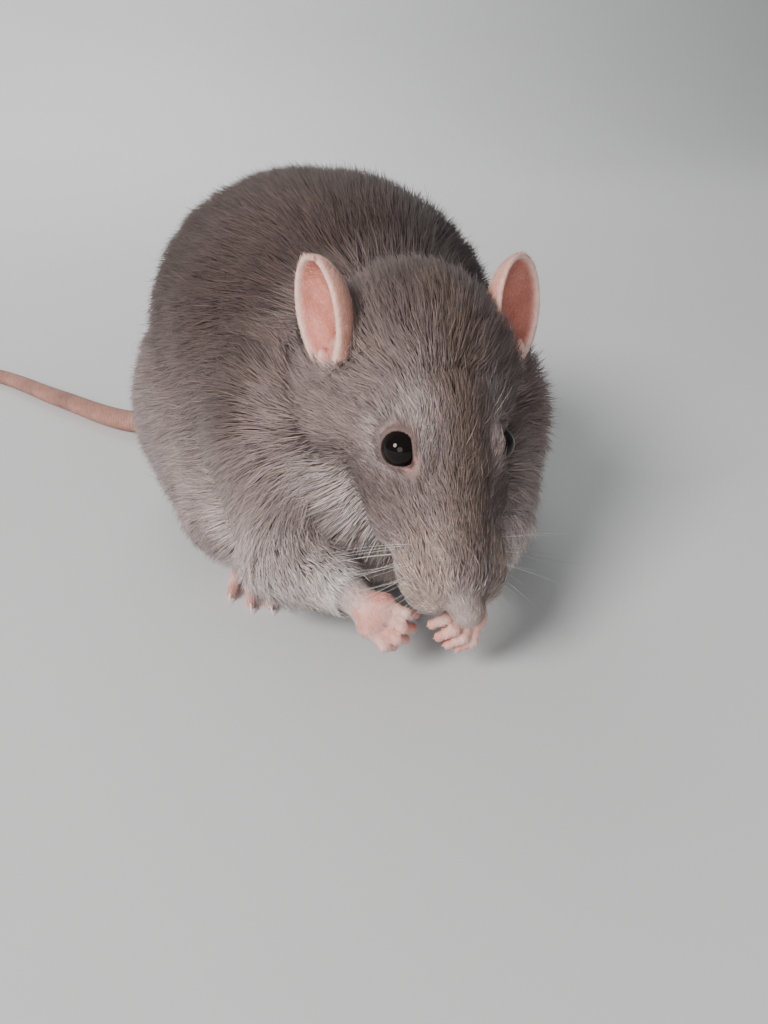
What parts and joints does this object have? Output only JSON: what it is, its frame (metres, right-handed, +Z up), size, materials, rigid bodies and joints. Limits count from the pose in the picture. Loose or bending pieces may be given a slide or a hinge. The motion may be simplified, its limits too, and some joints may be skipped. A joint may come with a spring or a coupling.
{
  "type": "dumbo rat",
  "caption": "Life-size still model of a grown dumbo rat sitting hunched, head bowed over its lifted hands, round low-set ears, long tail laid on the floor.",
  "frame": {"origin": "floor level, under the middle of the whole model's bounding box", "axes": "+Z up, -Y the way the rat faces, +X the rat's own left"},
  "size_m": [0.1856, 0.2327, 0.0789],
  "materials": {
    "coat_head": "short soft fur, grey brown",
    "coat_body": "plush fur, mink grey, darker along the back",
    "coat_pale": "plush fur, pale grey",
    "paw_skin": "bare pink skin, finely creased",
    "ear_skin": "thin bare pink skin with fine down",
    "tail_skin": "ringed scales, matt",
    "eye": "wet black"
  },
  "bodies": {
    "root": {"head": "coat_head", "eye_left": "eye", "eye_right": "eye", "neck": "coat_head", "forepaw_left": "paw_skin", "foreleg_left": "coat_pale", "hindfoot_left": "paw_skin", "hindleg_left": "coat_body", "forepaw_right": "paw_skin", "foreleg_right": "coat_pale", "hindfoot_right": "paw_skin", "hindleg_right": "coat_body", "tail_base": "tail_skin", "tail_middle": "tail_skin", "tail_end": "tail_skin", "tail_tip": "tail_skin", "chest": "coat_body", "belly": "coat_body", "rump": "coat_body", "ear_left": "ear_skin", "ear_right": "ear_skin"}
  },
  "joints": []
}
